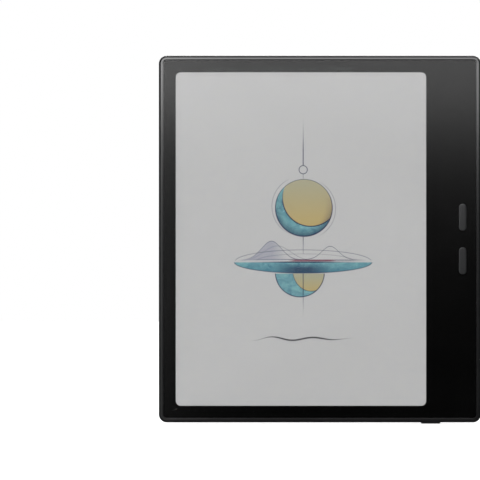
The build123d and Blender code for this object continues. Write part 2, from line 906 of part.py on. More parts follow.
power_flex_low = power_switch_foot + slip - half_height
power_flex_top = power_flex_overlap - board_half
with BuildPart() as power_flex:
    with BuildSketch(layer(power_switch_front)):
        with Locations((power_x, power_flex_low + power_flex_foot / 2)):
            Rectangle(power_width, power_flex_foot)
        with Locations((power_x, (power_flex_low + power_flex_top) / 2)):
            Rectangle(power_flex_width, power_flex_top - power_flex_low)
    extrude(amount=flex_thick)
power_flex.part.label = "power_flex"
export_step(power_flex.part, "parts/power_flex.step")

# Main board

with BuildPart() as main_board:
    with BuildSketch(layer(board_back)):
        with Locations((board_x, 0)):
            RectangleRounded(board_width, 2 * board_half, least_corner)
        with Locations((board_right, usb_z)):
            Rectangle(
                2 * (board_right - usb_rear + sliding_gap), usb_width + 2 * sliding_gap, mode=Mode.SUBTRACT
            )
        with Locations((board_right, tray_z)):
            Rectangle(
                2 * (board_right - socket_rear_x + sliding_gap),
                socket_width + 2 * sliding_gap,
                mode=Mode.SUBTRACT,
            )
        with Locations(*board_screw_spots):
            Circle(board_screw_radius + sliding_gap, mode=Mode.SUBTRACT)
    extrude(amount=board_thick)
main_board.part.label = "main_board"
export_step(main_board.part, "parts/main_board.step")

with BuildPart() as board_screws:
    with BuildSketch(layer(board_back + board_head_height)):
        with Locations(*board_screw_spots):
            Circle(board_head_radius)
    extrude(amount=board_head_height)
    with BuildSketch(layer(board_back)):
        with Locations(*board_screw_spots):
            Circle(board_screw_radius)
    extrude(amount=board_screw_length)
board_screws.part.label = "board_screws"
export_step(board_screws.part, "parts/board_screws.step")

chip_x = board_left + chip_from_board_edge
sensor_z = board_half - sensor_from_board_end
microphone_x = board_right - microphone_width / 2
shield_x = board_right - shield_width / 2 - sliding_gap
shield_room = shield_width / 2 - shield_sheet - sliding_gap
processor_x = shield_x - shield_room + processor_side / 2
storage_x = shield_x + shield_room - storage_width / 2
memory_z = -memory_height / 2 - slip
storage_z = storage_height / 2 + slip
chips = {
    "processor": (processor_x, 0, processor_side, processor_side, processor_thick),
    "memory_chip": (storage_x, memory_z, memory_width, memory_height, memory_thick),
    "storage_chip": (storage_x, storage_z, storage_width, storage_height, storage_thick),
    "power_chip": (plug_x, battery_plug_z, power_chip_side, power_chip_side, chip_thick),
    "radio_chip": (chip_x, -battery_plug_z, radio_chip_width, radio_chip_height, chip_thick),
    "hall_sensor": (chip_x, -sensor_z, small_chip_side, small_chip_side, chip_thick),
    "motion_sensor": (chip_x, sensor_z, small_chip_side, small_chip_side, chip_thick),
    "microphone": (microphone_x, microphone_z, microphone_width, microphone_length, microphone_height),
}
for name, (x, z, width, height, thick) in chips.items():
    with BuildPart() as chip:
        with BuildSketch(layer(board_back + thick)):
            with Locations((x, z)):
                Rectangle(width, height)
        extrude(amount=thick)
    chip.part.label = name
    export_step(chip.part, f"parts/{name}.step")

with BuildPart() as shield_can:
    with BuildSketch(layer(board_back + shield_depth)):
        with Locations((shield_x, 0)):
            RectangleRounded(shield_width, shield_height, least_corner)
    extrude(amount=shield_depth)
    with BuildSketch(layer(board_back + shield_depth - shield_sheet)):
        with Locations((shield_x, 0)):
            Rectangle(shield_width - 2 * shield_sheet, shield_height - 2 * shield_sheet)
    extrude(amount=shield_depth - shield_sheet, mode=Mode.SUBTRACT)
shield_can.part.label = "shield_can"
export_step(shield_can.part, "parts/shield_can.step")

# Plugs: display, touch and front light on the front of the board, battery on the back
light_plug_height = board_front - guide_back - flex_thick
with BuildPart() as board_plugs:
    with BuildSketch(layer(board_front)):
        with Locations((plug_x, display_plug_z)):
            Rectangle(plug_length, display_plug_width)
        with Locations((plug_x, 0)):
            Rectangle(plug_length, touch_plug_width)
    extrude(amount=plug_thick)
    with BuildSketch(layer(board_front)):
        with Locations((plug_x, light_plug_z)):
            Rectangle(plug_length, light_plug_width)
    extrude(amount=light_plug_height)
    with BuildSketch(layer(board_back + battery_plug_thick)):
        with Locations((battery_plug_x, battery_plug_z)):
            Rectangle(battery_plug_length, battery_plug_width)
    extrude(amount=battery_plug_thick)
board_plugs.part.label = "board_plugs"
export_step(board_plugs.part, "parts/board_plugs.step")

# USB-C socket, open to the grip side

with BuildPart() as usb_shell_part:
    with BuildSketch(flank(usb_rear)):
        with Locations((port_y, usb_z)):
            SlotOverall(usb_width, usb_height, rotation=90)
    extrude(amount=usb_length)
    with BuildSketch(flank(usb_rear + usb_shell)):
        with Locations((port_y, usb_z)):
            SlotOverall(usb_width - 2 * usb_shell, usb_height - 2 * usb_shell, rotation=90)
    extrude(amount=usb_length - usb_shell, mode=Mode.SUBTRACT)
usb_shell_part.part.label = "usb_shell"
export_step(usb_shell_part.part, "parts/usb_shell.step")

with BuildPart() as usb_tongue:
    with BuildSketch(flank(usb_rear + usb_shell)):
        with Locations((port_y, usb_z)):
            SlotOverall(
                usb_width - 2 * (usb_shell + thread_gap), usb_height - 2 * (usb_shell + thread_gap), rotation=90
            )
    extrude(amount=tongue_block)
    with BuildSketch(flank(usb_rear + usb_shell + tongue_block)):
        with Locations((port_y, usb_z)):
            Rectangle(tongue_thick, tongue_width)
    extrude(amount=tongue_length - usb_shell)
usb_tongue.part.label = "usb_tongue"
export_step(usb_tongue.part, "parts/usb_tongue.step")

# Card socket, and the tray that slides out of it with its card and seal

with BuildPart() as card_socket:
    with BuildSketch(flank(socket_rear_x)):
        with Locations((port_y, tray_z)):
            Rectangle(socket_height, socket_width)
    extrude(amount=socket_length)
    with BuildSketch(flank(socket_rear_x + socket_shell)):
        with Locations((port_y, tray_z)):
            Rectangle(socket_height - 2 * socket_shell, socket_width - 2 * socket_shell)
    extrude(amount=socket_length - socket_shell, mode=Mode.SUBTRACT)
card_socket.part.label = "card_socket"
export_step(card_socket.part, "parts/card_socket.step")

tray_back = port_y + tray_thick / 2
card_back = port_y - tray_thick / 2 + tray_floor + card_thick
card_x = tray_tip + (tray_width - card_width) / 2 + card_length / 2
with BuildPart() as card_tray:
    with BuildSketch(flank(door_x - door_thick)):
        with Locations((port_y, tray_z)):
            RectangleRounded(door_height, door_width, door_corner)
    extrude(amount=door_thick)
    fillet(card_tray.faces().sort_by(Axis.X)[-1].edges(), radius=door_softening)
    with BuildSketch(flank(door_x)):
        with Locations((port_y, tray_z - eject_offset)):
            Circle(eject_radius)
    extrude(amount=-door_thick, mode=Mode.SUBTRACT)
    with BuildSketch(layer(tray_back)):
        with Locations((tray_tip + tray_length / 2, tray_z)):
            Rectangle(tray_length, tray_width)
    extrude(amount=tray_thick)
    with BuildSketch(layer(tray_back)):
        with Locations((card_x, tray_z)):
            Rectangle(card_length + 2 * sliding_gap, card_width + 2 * sliding_gap)
    extrude(amount=tray_thick - tray_floor, mode=Mode.SUBTRACT)
card_tray.part.label = "card_tray"
export_step(card_tray.part, "parts/card_tray.step")

with BuildPart() as memory_card:
    with BuildSketch(layer(card_back)):
        with Locations((card_x, tray_z)):
            RectangleRounded(card_length, card_width, card_corner)
    extrude(amount=card_thick)
memory_card.part.label = "memory_card"
export_step(memory_card.part, "parts/memory_card.step")

with BuildPart() as tray_seal:
    with BuildSketch(flank(door_x - door_thick - seal_thick)):
        with Locations((port_y, tray_z)):
            RectangleRounded(door_height, door_width, door_corner)
            Rectangle(tray_thick, tray_width, mode=Mode.SUBTRACT)
    extrude(amount=seal_thick)
tray_seal.part.label = "tray_seal"
export_step(tray_seal.part, "parts/tray_seal.step")

# Speakers at both ends of the grip strip, each behind a dust mesh

speaker_right = wall_inside - mesh_thick - sliding_gap
speaker_back = chassis_back + slip + speaker_height
for name, z in (("upper", speaker_z), ("lower", -speaker_z)):
    with BuildPart() as speaker:
        with BuildSketch(layer(speaker_back)):
            with Locations((speaker_right - speaker_width / 2, z)):
                RectangleRounded(speaker_width, speaker_length, speaker_corner)
        extrude(amount=speaker_height)
    speaker.part.label = f"{name}_speaker"
    export_step(speaker.part, f"parts/{name}_speaker.step")

    with BuildPart() as mesh:
        with BuildSketch(flank(wall_inside - mesh_thick)):
            with Locations((port_y, z)):
                Rectangle(mesh_height, speaker_length - 2 * speaker_corner)
        extrude(amount=mesh_thick)
    mesh.part.label = f"{name}_speaker_mesh"
    export_step(mesh.part, f"parts/{name}_speaker_mesh.step")

# Battery with its protection board and lead, taped to the chassis

with BuildPart() as battery_cell:
    with BuildSketch(layer(battery_back)):
        with Locations((battery_x, 0)):
            Rectangle(battery_width, battery_height)
    extrude(amount=battery_thick)
    fillet(battery_cell.edges(), radius=battery_rounding)
battery_cell.part.label = "battery_cell"
export_step(battery_cell.part, "parts/battery_cell.step")

with BuildPart() as battery_tape:
    with BuildSketch(layer(battery_front)):
        with Locations((battery_x, 0)):
            with GridLocations(2 * tape_width, 0, 2, 1):
                Rectangle(tape_width, battery_height - 2 * battery_rounding)
    extrude(amount=tape_thick)
battery_tape.part.label = "battery_tape"
export_step(battery_tape.part, "parts/battery_tape.step")

battery_lead_back = board_back + battery_plug_thick + battery_lead_thick
battery_board_back = battery_lead_back - battery_lead_thick
with BuildPart() as battery_board:
    with BuildSketch(layer(battery_board_back)):
        with Locations((battery_board_x, 0)):
            Rectangle(battery_board_width, battery_height - 2 * battery_rounding)
    extrude(amount=battery_board_thick)
battery_board.part.label = "battery_board"
export_step(battery_board.part, "parts/battery_board.step")

lead_length = battery_plug_x + battery_plug_length / 2 - battery_board_x
with BuildPart() as battery_lead:
    with BuildSketch(layer(battery_lead_back)):
        with Locations((battery_board_x + lead_length / 2, battery_plug_z)):
            Rectangle(lead_length, battery_plug_width)
    extrude(amount=battery_lead_thick)
battery_lead.part.label = "battery_lead"
export_step(battery_lead.part, "parts/battery_lead.step")

# Magnets for a sleep cover, along the edge away from the grip
with BuildPart() as case_magnets:
    with BuildSketch(layer(chassis_back + magnet_thick)):
        with Locations((magnet_from_edge - half_width, 0)):
            with GridLocations(0, magnet_pitch, 1, magnet_count):
                Rectangle(magnet_width, magnet_length)
    extrude(amount=magnet_thick)
case_magnets.part.label = "case_magnets"
export_step(case_magnets.part, "parts/case_magnets.step")

# Aerial foil on the inside of the rear cover
with BuildPart() as aerial_flex:
    with BuildSketch(layer(cover_inside)):
        with Locations((screen_x, half_height - aerial_from_top - aerial_height / 2)):
            Rectangle(aerial_width, aerial_height)
    extrude(amount=flex_thick)
aerial_flex.part.label = "aerial_flex"
export_step(aerial_flex.part, "parts/aerial_flex.step")
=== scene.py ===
import math

import bmesh
import bpy
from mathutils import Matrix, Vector


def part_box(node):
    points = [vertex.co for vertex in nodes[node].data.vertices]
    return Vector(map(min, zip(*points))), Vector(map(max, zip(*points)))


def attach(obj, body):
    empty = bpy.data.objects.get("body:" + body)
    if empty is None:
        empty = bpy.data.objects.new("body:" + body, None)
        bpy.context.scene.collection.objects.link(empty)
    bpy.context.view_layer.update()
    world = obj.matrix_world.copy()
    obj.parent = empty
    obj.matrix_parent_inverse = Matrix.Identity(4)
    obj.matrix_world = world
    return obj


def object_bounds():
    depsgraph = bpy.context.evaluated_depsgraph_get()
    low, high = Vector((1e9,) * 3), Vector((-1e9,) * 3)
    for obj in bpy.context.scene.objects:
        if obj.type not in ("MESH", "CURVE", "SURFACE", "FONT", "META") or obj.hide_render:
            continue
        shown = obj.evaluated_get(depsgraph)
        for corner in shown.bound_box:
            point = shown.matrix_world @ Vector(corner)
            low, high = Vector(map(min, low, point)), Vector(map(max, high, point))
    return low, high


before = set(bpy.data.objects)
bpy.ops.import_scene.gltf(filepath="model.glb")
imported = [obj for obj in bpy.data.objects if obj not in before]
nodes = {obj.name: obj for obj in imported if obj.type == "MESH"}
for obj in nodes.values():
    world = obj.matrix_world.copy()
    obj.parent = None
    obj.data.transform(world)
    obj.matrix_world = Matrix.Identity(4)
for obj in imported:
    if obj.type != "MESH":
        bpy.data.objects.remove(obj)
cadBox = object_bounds()
print("frame loaded with", len(nodes), "CAD nodes")

mm = 0.001
bodyLow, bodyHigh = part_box("middle_frame")
bodyMid = (bodyLow.z + bodyHigh.z) / 2  # height of the reader's middle
frontFace = bodyLow.y


def tone(code, alpha=1.0):
    # "2b2c31" as a painter picks it -> the linear colour that a shader wants
    parts = [int(code[i:i + 2], 16) / 255 for i in (0, 2, 4)]
    line = [c / 12.92 if c <= 0.04045 else ((c + 0.055) / 1.055) ** 2.4 for c in parts]
    return (*line, alpha)


class Term:
    # a value inside a material that can be added, scaled and compared
    def __init__(self, finish, socket):
        self.finish = finish
        self.socket = socket

    def __add__(self, other):
        return self.finish.reckon("ADD", self, other)

    def __radd__(self, other):
        return self.finish.reckon("ADD", other, self)

    def __sub__(self, other):
        return self.finish.reckon("SUBTRACT", self, other)

    def __rsub__(self, other):
        return self.finish.reckon("SUBTRACT", other, self)

    def __mul__(self, other):
        return self.finish.reckon("MULTIPLY", self, other)

    def __rmul__(self, other):
        return self.finish.reckon("MULTIPLY", other, self)

    def __truediv__(self, other):
        return self.finish.reckon("DIVIDE", self, other)

    def size(self):
        return self.finish.reckon("ABSOLUTE", self)


class Finish:
    # one material while it is being mixed
    def __init__(self, name, **fixed):
        self.material = bpy.data.materials.new(name)
        self.material.use_nodes = True
        self.tree = self.material.node_tree
        self.tree.nodes.clear()
        self.output = self.add("ShaderNodeOutputMaterial")
        self.shader = self.add("ShaderNodeBsdfPrincipled")
        self.join(self.shader.outputs["BSDF"], self.output.inputs["Surface"])
        for label, value in fixed.items():
            self.shader.inputs[label.replace("_", " ")].default_value = value
        self.place = self.add("ShaderNodeTexCoord").outputs["Object"]
        self.relief = None  # the last bump, which the next one builds on

    def add(self, kind, **settings):
        node = self.tree.nodes.new(kind)
        count = len(self.tree.nodes)
        node.location = (-190 * (count % 12), -230 * (count // 12))
        for key, value in settings.items():
            setattr(node, key, value)
        return node

    def join(self, source, target):
        if isinstance(source, Term):
            source = source.socket
        self.tree.links.new(source, target)

    def feed(self, target, value):
        if isinstance(value, (Term, bpy.types.NodeSocket)):
            self.join(value, target)
        else:
            target.default_value = value

    def reckon(self, work, *values, clamp=False):
        node = self.add("ShaderNodeMath", operation=work, use_clamp=clamp)
        for socket, value in zip(node.inputs, values):
            self.feed(socket, value)
        return Term(self, node.outputs[0])

    def stretched(self, stretch):
        if stretch is None:
            return self.place
        node = self.add("ShaderNodeMapping")
        self.join(self.place, node.inputs["Vector"])
        node.inputs["Scale"].default_value = stretch
        return node.outputs["Vector"]

    # size is the width of one lump or cell, in millimetres
    def noise(self, size, detail=2.0, rough=0.5, warp=0.0, stretch=None):
        node = self.add("ShaderNodeTexNoise")
        self.join(self.stretched(stretch), node.inputs["Vector"])
        node.inputs["Scale"].default_value = 1 / (size * mm)
        node.inputs["Detail"].default_value = detail
        node.inputs["Roughness"].default_value = rough
        node.inputs["Distortion"].default_value = warp
        return Term(self, node.outputs["Fac"])

    def cells(self, size, feature="F1", stray=1.0):
        node = self.add("ShaderNodeTexVoronoi", feature=feature)
        self.join(self.place, node.inputs["Vector"])
        node.inputs["Scale"].default_value = 1 / (size * mm)
        node.inputs["Randomness"].default_value = stray
        return Term(self, node.outputs["Distance"])

    def waves(self, size, direction):
        node = self.add("ShaderNodeTexWave", wave_type="BANDS", bands_direction=direction)
        self.join(self.place, node.inputs["Vector"])
        # a wave texture repeats every pi / 10 of its scale
        node.inputs["Scale"].default_value = math.pi / 10 / (size * mm)
        return Term(self, node.outputs["Fac"])

    def span(self, value, low, high, toLow=0.0, toHigh=1.0):
        node = self.add("ShaderNodeMapRange")
        for label, item in (("Value", value), ("From Min", low), ("From Max", high),
                            ("To Min", toLow), ("To Max", toHigh)):
            self.feed(node.inputs[label], item)
        return Term(self, node.outputs["Result"])

    def mix(self, share, first, second, way="MIX"):
        node = self.add("ShaderNodeMix", data_type="RGBA", blend_type=way)
        self.feed(node.inputs[0], share)
        self.feed(node.inputs[6], first)
        self.feed(node.inputs[7], second)
        return Term(self, node.outputs[2])

    def raised(self, height, depth, strength=1.0):
        # height 0..1 stands for that many millimetres of relief
        node = self.add("ShaderNodeBump")
        node.inputs["Strength"].default_value = strength
        node.inputs["Distance"].default_value = depth * mm
        self.join(height, node.inputs["Height"])
        if self.relief is not None:
            self.join(self.relief, node.inputs["Normal"])
        self.relief = node.outputs["Normal"]

    def edges(self, width, low=0.02, high=0.3):
        # 1 along outside corners narrower than width, 0 on the flats
        bevel = self.add("ShaderNodeBevel", samples=4)
        bevel.inputs["Radius"].default_value = width * mm
        true = self.add("ShaderNodeNewGeometry").outputs["True Normal"]
        dot = self.add("ShaderNodeVectorMath", operation="DOT_PRODUCT")
        self.join(bevel.outputs["Normal"], dot.inputs[0])
        self.join(true, dot.inputs[1])
        return self.span(1 - Term(self, dot.outputs["Value"]), low, high)

    def done(self, colour=None, rough=None, metal=None):
        for label, value in (("Base Color", colour), ("Roughness", rough), ("Metallic", metal)):
            if value is not None:
                self.feed(self.shader.inputs[label], value)
        if self.relief is not None:
            self.join(self.relief, self.shader.inputs["Normal"])
        return self.material


def mouldedPlastic(name, look):
    # satin moulding: spark-eroded grain, faint flow clouds, edges lightened as a painted highlight
    # with a little rubbed wear
    finish = Finish(name, Specular_IOR_Level=look.get("shine", 0.5),
                    Coat_Weight=look.get("coat", 0.0), Coat_Roughness=look.get("coatRough", 0.3))
    grain = finish.noise(look["grain"], detail=2)
    cloud = finish.noise(look["cloud"], detail=3, rough=0.6)
    smear = finish.noise(look["cloud"] * 0.4, detail=4, rough=0.65, stretch=(1, 1, 0.3))
    colour = finish.mix(finish.span(cloud, 0.3, 0.7), tone(look["dark"]), tone(look["light"]))
    rough = finish.span(grain, 0.3, 0.7, look["rough"] - 0.03, look["rough"] + 0.03)
    rough = rough + finish.span(smear, 0.35, 0.7, -0.02, 0.03)
    # painted highlight: the colour turns lighter along outside edges, partly as rubbed wear
    if look.get("wearAndSheen"):
        edge = finish.edges(look["wearAndSheen"])
        colour = finish.mix(edge * look["wearAndSheenShare"], colour, tone(look["wearAndSheenTone"]))
        rough = rough - edge * 0.06
    finish.raised(grain, look["depth"])
    return finish.done(colour, rough)


# the edge width, share and lighter edge tone paint a highlight along the edges, with a little wear
frameLook = {"light": "17171a", "dark": "131315", "rough": 0.32, "grain": 0.22, "cloud": 14,
             "depth": 0.0015, "shine": 1.0, "wearAndSheen": 0.35, "wearAndSheenShare": 0.12, "wearAndSheenTone": "3e3f42",
             "coat": 1.0, "coatRough": 0.31}
coverLook = {"light": "505057", "dark": "49494f", "rough": 0.36, "grain": 0.24, "cloud": 18,
             "depth": 0.002, "shine": 1.0, "wearAndSheen": 0.3, "wearAndSheenShare": 0.35, "wearAndSheenTone": "66666c",
             "coat": 0.8, "coatRough": 0.34}
keyLook = {"light": "2a2b2d", "dark": "252628", "rough": 0.34, "grain": 0.18, "cloud": 5,
           "depth": 0.003, "shine": 1.0, "wearAndSheen": 0.25, "wearAndSheenShare": 0.25, "wearAndSheenTone": "4a4b4e",
           "coat": 0.6, "coatRough": 0.34}
carrierLook = {"light": "1f2022", "dark": "17181a", "rough": 0.55, "grain": 0.3, "cloud": 9,
               "depth": 0.010, "shine": 0.4}
sealLook = {"light": "5a2f2a", "dark": "47231f", "rough": 0.7, "grain": 0.12, "cloud": 2,
            "depth": 0.006, "shine": 0.35}


def plugNylon(look):
    # ivory nylon of the small board plugs, slightly translucent and mottled
    finish = Finish("plug_nylon", Subsurface_Weight=0.08)
    finish.shader.inputs["Subsurface Radius"].default_value = (0.0004, 0.0003, 0.0002)
    cloud = finish.noise(1.2, detail=3)
    grain = finish.noise(0.08, detail=1)
    finish.raised(grain, 0.003)
    colour = finish.mix(finish.span(cloud, 0.3, 0.7), tone(look["light"]), tone(look["warm"]))
    return finish.done(colour, finish.span(grain, 0.3, 0.7, 0.38, 0.5))


nylonLook = {"light": "e6e0cf", "warm": "d8cfb6"}


def grainedHide(name, look):
    # blue-black pebbled leather grain: cells inside cells, creases darkened as painted shade, and
    # raised grain tips lightened as a painted highlight
    finish = Finish(name, Specular_IOR_Level=0.8, Specular_Tint=tone(look["gleam"]))
    warp = finish.noise(look["pebble"] * 3, detail=2)
    pebble = finish.cells(look["pebble"], feature="SMOOTH_F1")
    crease = finish.cells(look["pebble"] * 0.8, feature="DISTANCE_TO_EDGE")
    fine = finish.noise(look["pebble"] * 0.35, detail=3, rough=0.6)
    patch = finish.noise(look["patch"], detail=4, rough=0.6, warp=0.6)
    hollow = 1 - finish.span(crease, 0.0, 0.16)
    height = finish.span(pebble, 0.0, 0.75, 1.0, 0.2) - hollow * 0.45 + fine * 0.35 + warp * 0.3
    blueness = finish.span(patch, 0.36, 0.64)
    colour = finish.mix(blueness, tone(look["grey"]), tone(look["blue"]))
    # painted shade: the crease hollows take a near-black tone
    colour = finish.mix(hollow * look["creaseShadeShare"], colour, tone(look["crease"]))
    # painted highlight: a lighter tone on the raised fine grain
    colour = finish.mix(finish.span(fine, 0.55, 0.8) * 0.35, colour, tone(look["tip"]))
    rough = finish.span(fine, 0.3, 0.7, look["rough"] - 0.05, look["rough"] + 0.05) + hollow * 0.08
    finish.raised(height, look["depth"])
    return finish.done(colour, rough)


# the crease tone is painted shade in the hollows; the tip tone is a painted highlight on raised
# grain
hideLook = {"grey": "1a1b21", "blue": "15162b", "crease": "040407", "tip": "46465c",
            "gleam": "e4e4ff", "pebble": 0.85, "patch": 16, "rough": 0.36, "depth": 0.26,
            "creaseShadeShare": 1.0}


def etchedGlass(look):
    # anti-glare cover glass: a dim mirror over clear glass, frosted by etching
    finish = Finish("etched_cover_glass", Base_Color=(1, 1, 1, 1), Metallic=1.0)
    etch = finish.noise(look["etch"], detail=2)
    wipe = finish.noise(look["wipe"], detail=3, rough=0.6, warp=1.0)
    rough = finish.span(etch, 0.3, 0.7, look["rough"] - 0.015, look["rough"] + 0.015)
    rough = rough + finish.span(wipe, 0.4, 0.7, 0.0, 0.02)
    finish.raised(etch, look["depth"])
    finish.done(None, rough)
    fresnel = finish.add("ShaderNodeFresnel")
    fresnel.inputs["IOR"].default_value = look["ior"]
    inside = Term(finish, finish.add("ShaderNodeNewGeometry").outputs["Backfacing"])
    share = Term(finish, fresnel.outputs["Fac"]) * (1 - inside)
    clear = finish.add("ShaderNodeBsdfTransparent")
    both = finish.add("ShaderNodeMixShader")
    finish.join(share, both.inputs[0])
    finish.join(clear.outputs[0], both.inputs[1])
    finish.join(finish.shader.outputs[0], both.inputs[2])
    finish.join(both.outputs[0], finish.output.inputs["Surface"])
    return finish.material


glassLook = {"rough": 0.315, "etch": 0.3, "wipe": 30, "depth": 0.00006, "ior": 1.5}


def clearLayer(name, look):
    # a bonded clear layer: almost nothing but a trace of haze and dust
    finish = Finish(name, Base_Color=tone(look["haze"]), Specular_IOR_Level=0.0)
    dust = finish.noise(look["dust"], detail=3)
    finish.raised(dust, 0.0005)
    finish.done(None, finish.span(dust, 0.3, 0.7, 0.3, 0.45))
    share = finish.span(dust, 0.3, 0.8, look["least"], look["most"])
    clear = finish.add("ShaderNodeBsdfTransparent")
    both = finish.add("ShaderNodeMixShader")
    finish.join(share, both.inputs[0])
    finish.join(clear.outputs[0], both.inputs[1])
    finish.join(finish.shader.outputs[0], both.inputs[2])
    finish.join(both.outputs[0], finish.output.inputs["Surface"])
    return finish.material


filmLook = {"haze": "c8ccd0", "dust": 1.5, "least": 0.001, "most": 0.004}
bondLook = {"haze": "d6d8cf", "dust": 2.5, "least": 0.001, "most": 0.003}
guideLook = {"haze": "d4dde2", "dust": 0.6, "least": 0.001, "most": 0.004}


def screenInk(look):
    # black ceramic ink printed behind the glass border
    finish = Finish("border_ink", Specular_IOR_Level=0.0)
    speck = finish.noise(look["speck"], detail=2)
    cloud = finish.noise(20, detail=2)
    finish.raised(speck, 0.001)
    colour = finish.mix(finish.span(cloud, 0.3, 0.7), tone(look["deep"]), tone(look["face"]))
    return finish.done(colour, finish.span(speck, 0.3, 0.7, 0.5, 0.6))


inkLook = {"deep": "010101", "face": "030303", "speck": 0.2}


# the drawing, in mm from the plumb line and the reader's middle: circles as (x, z, radius),
# ovals as (x, z, half width, half height), hills as (x, width, height, foot)
sketch = {"disc": (0.3, 13.3, 12.1), "litPart": (3.2, 17.4, 12.0), "bead": (0, 29.5, 1.75),
          "rightHalo": (0.9, 12.9, 12.9), "leftHalo": (-0.5, 13.9, 12.8),
          "tallHill": (-13.5, 6.0, 8.0, -8.9), "lowHill": (11.5, 5.0, 5.6, -8.7),
          "farHill": (-11.0, 8.0, 6.4, -9.3), "outerRing": (0, -9.6, 29.0, 5.0),
          "innerRing": (0.8, -9.3, 20.5, 3.0), "water": (0, -9.8, 29.3, 4.7),
          "mirror": (-1.4, -14.3, 10.4, 10.3), "mirrorLit": (3.4, -12.6, 8.0, 9.6),
          "mirrorTop": -14.7, "brushHeight": -42.4,
          "pageHigh": 71.0, "pageWide": 53.4, "pageMid": -0.95, "marginShadeFade": 0.2}


def paperScreen(look):
    # e-paper film with a calm drawing of its own: a disc over still water
    finish = Finish("paper_screen", Specular_IOR_Level=0.0)
    split = finish.add("ShaderNodeSeparateXYZ")
    finish.join(finish.place, split.inputs[0])
    x = Term(finish, split.outputs["X"]) * (1 / mm) - look["axis"]
    z = (Term(finish, split.outputs["Z"]) - bodyMid) * (1 / mm)
    soft = look["soft"]

    gone = -0.6 * soft  # a width that leaves no line at all

    def fill(far):
        # far is a distance in millimetres, below 0 inside the shape
        return finish.reckon("MULTIPLY_ADD", far, -1 / soft, 0.5, clamp=True)

    def stroke(far, width):
        return fill(far.size() - width)

    def least(*parts):
        result = parts[0]
        for part in parts[1:]:
            result = finish.reckon("MINIMUM", result, part)
        return result

    def circle(cx, cz, radius):
        across, up = x - cx, z - cz
        return finish.reckon("SQRT", across * across + up * up) - radius

    def oval(cx, cz, halfWide, halfHigh):
        across, up = (x - cx) * (1 / halfWide), (z - cz) * (1 / halfHigh)
        ring = finish.reckon("SQRT", across * across + up * up)
        slopeX, slopeZ = across * (1 / halfWide), up * (1 / halfHigh)
        slope = finish.reckon("SQRT", slopeX * slopeX + slopeZ * slopeZ + 1e-6)
        return (ring - 1) * ring / slope

    grain = finish.noise(0.09, detail=1)
    fibre = finish.noise(3.0, detail=3, stretch=(1, 1, 2.2))
    wash = finish.noise(4.5, detail=4, rough=0.62, warp=1.2)
    paper = finish.mix(finish.span(fibre, 0.3, 0.7), tone(look["paper"]), tone(look["paperWarm"]))
    paper = finish.mix(finish.span(grain, 0.35, 0.65) * 0.07, paper, tone(look["paperDark"]))
    picture = paper

    def lay(share, colour):
        nonlocal picture
        picture = finish.mix(share, picture, colour)

    navy, teal, ochre, wine = (tone(look[key]) for key in ("navy", "teal", "ochre", "wine"))
    tealDeep, ochrePale = tone(look["tealDeep"]), tone(look["ochrePale"])
    tealWash = finish.mix(finish.span(wash, 0.4, 0.75), teal, tealDeep)
    ochreWash = finish.mix(finish.span(z, 6, 24), ochre, ochrePale)

    # the disc, split by a long arc into a lit part and a wet part
    disc = circle(*sketch["disc"])
    lit = circle(*sketch["litPart"])
    lay(fill(disc) * 0.95, tealWash)
    lay(fill(least(disc * -1, lit * -1) * -1) * 0.96, ochreWash)
    rimShade = finish.span(disc, -3.2, 0.0) * fill(disc) * finish.span(z, 19, 6)
    lay(rimShade * 0.7, navy)
    lay(stroke(lit, 0.22) * fill(disc) * finish.span(z, 21, 15), navy)
    lay(stroke(disc, finish.span(z, 22, 4, 0.1, 0.26)) * 0.92, navy)
    lay(stroke(circle(*sketch["rightHalo"]), 0.08) * finish.span(x, 6, 10) * 0.7, navy)
    lay(stroke(circle(*sketch["leftHalo"]), 0.08) * finish.span(x, -5, -9) * 0.7, navy)

    # the plumb line over and under it, with a plain bead
    plumb = x.size()
    lay(fill(plumb - finish.span(z, 57, 38, gone, 0.2)) * fill(31.4 - z) * 0.9, navy)
    lay(stroke(circle(*sketch["bead"]), 0.17) * 0.9, navy)
    lay(fill(plumb - 0.09) * fill((z - 26.6).size() - 1.1) * 0.7, navy)
    lay(fill(plumb - finish.span(z, 1, -7, 0.2, 0.04)) * fill((z + 2.6).size() - 3.8) * 0.75, navy)

    # two low hills as thin lines, then the rings on the water
    def hill(cx, wide, tall, foot):
        step = (x - cx) * (1 / wide)
        return z - finish.reckon("EXPONENT", step * step * -1) * tall - foot

    above = finish.span(z, -9.6, -8.6)
    lay(stroke(hill(*sketch["tallHill"]), 0.13) * finish.span(x.size(), 27, 20) * 0.9, navy)
    lay(stroke(hill(*sketch["lowHill"]), 0.12) * finish.span(x.size(), 25, 18) * 0.85, navy)
    lay(stroke(hill(*sketch["farHill"]), 0.08) * finish.span(x.size(), 27, 20) * 0.7, navy)
    mist = finish.span(x, -7, -13) * finish.span(x, -29, -25) * above
    lay(fill(hill(*sketch["tallHill"])) * mist * 0.5, tone(look["mist"]))
    lay(stroke(oval(*sketch["outerRing"]), 0.1) * above * 0.75, navy)
    lay(stroke(oval(*sketch["innerRing"]), 0.07) * above * 0.55, navy)

    # the water itself: flat on top, a shallow bowl below
    water = oval(*sketch["water"])
    bowl = fill(water) * fill(z + 9.9)
    lay(bowl * 0.95, finish.mix(finish.span(z, -14.4, -10.2), tealDeep, tealWash))
    lay(bowl * finish.span(x.size(), 13, 3) * finish.span(z, -10.2, -12.4) * 0.75, navy)
    lay(stroke(z + 9.8, finish.span(x.size(), 29, 6, gone, 0.26)) * fill(x.size() - 28.7), navy)
    lay(stroke(z + 9.1, 0.34) * finish.span((x - 4.0).size(), 10.5, 7.5) * 0.85, wine)
    lay(stroke(water, 0.14) * fill(z + 9.9) * 0.8, navy)

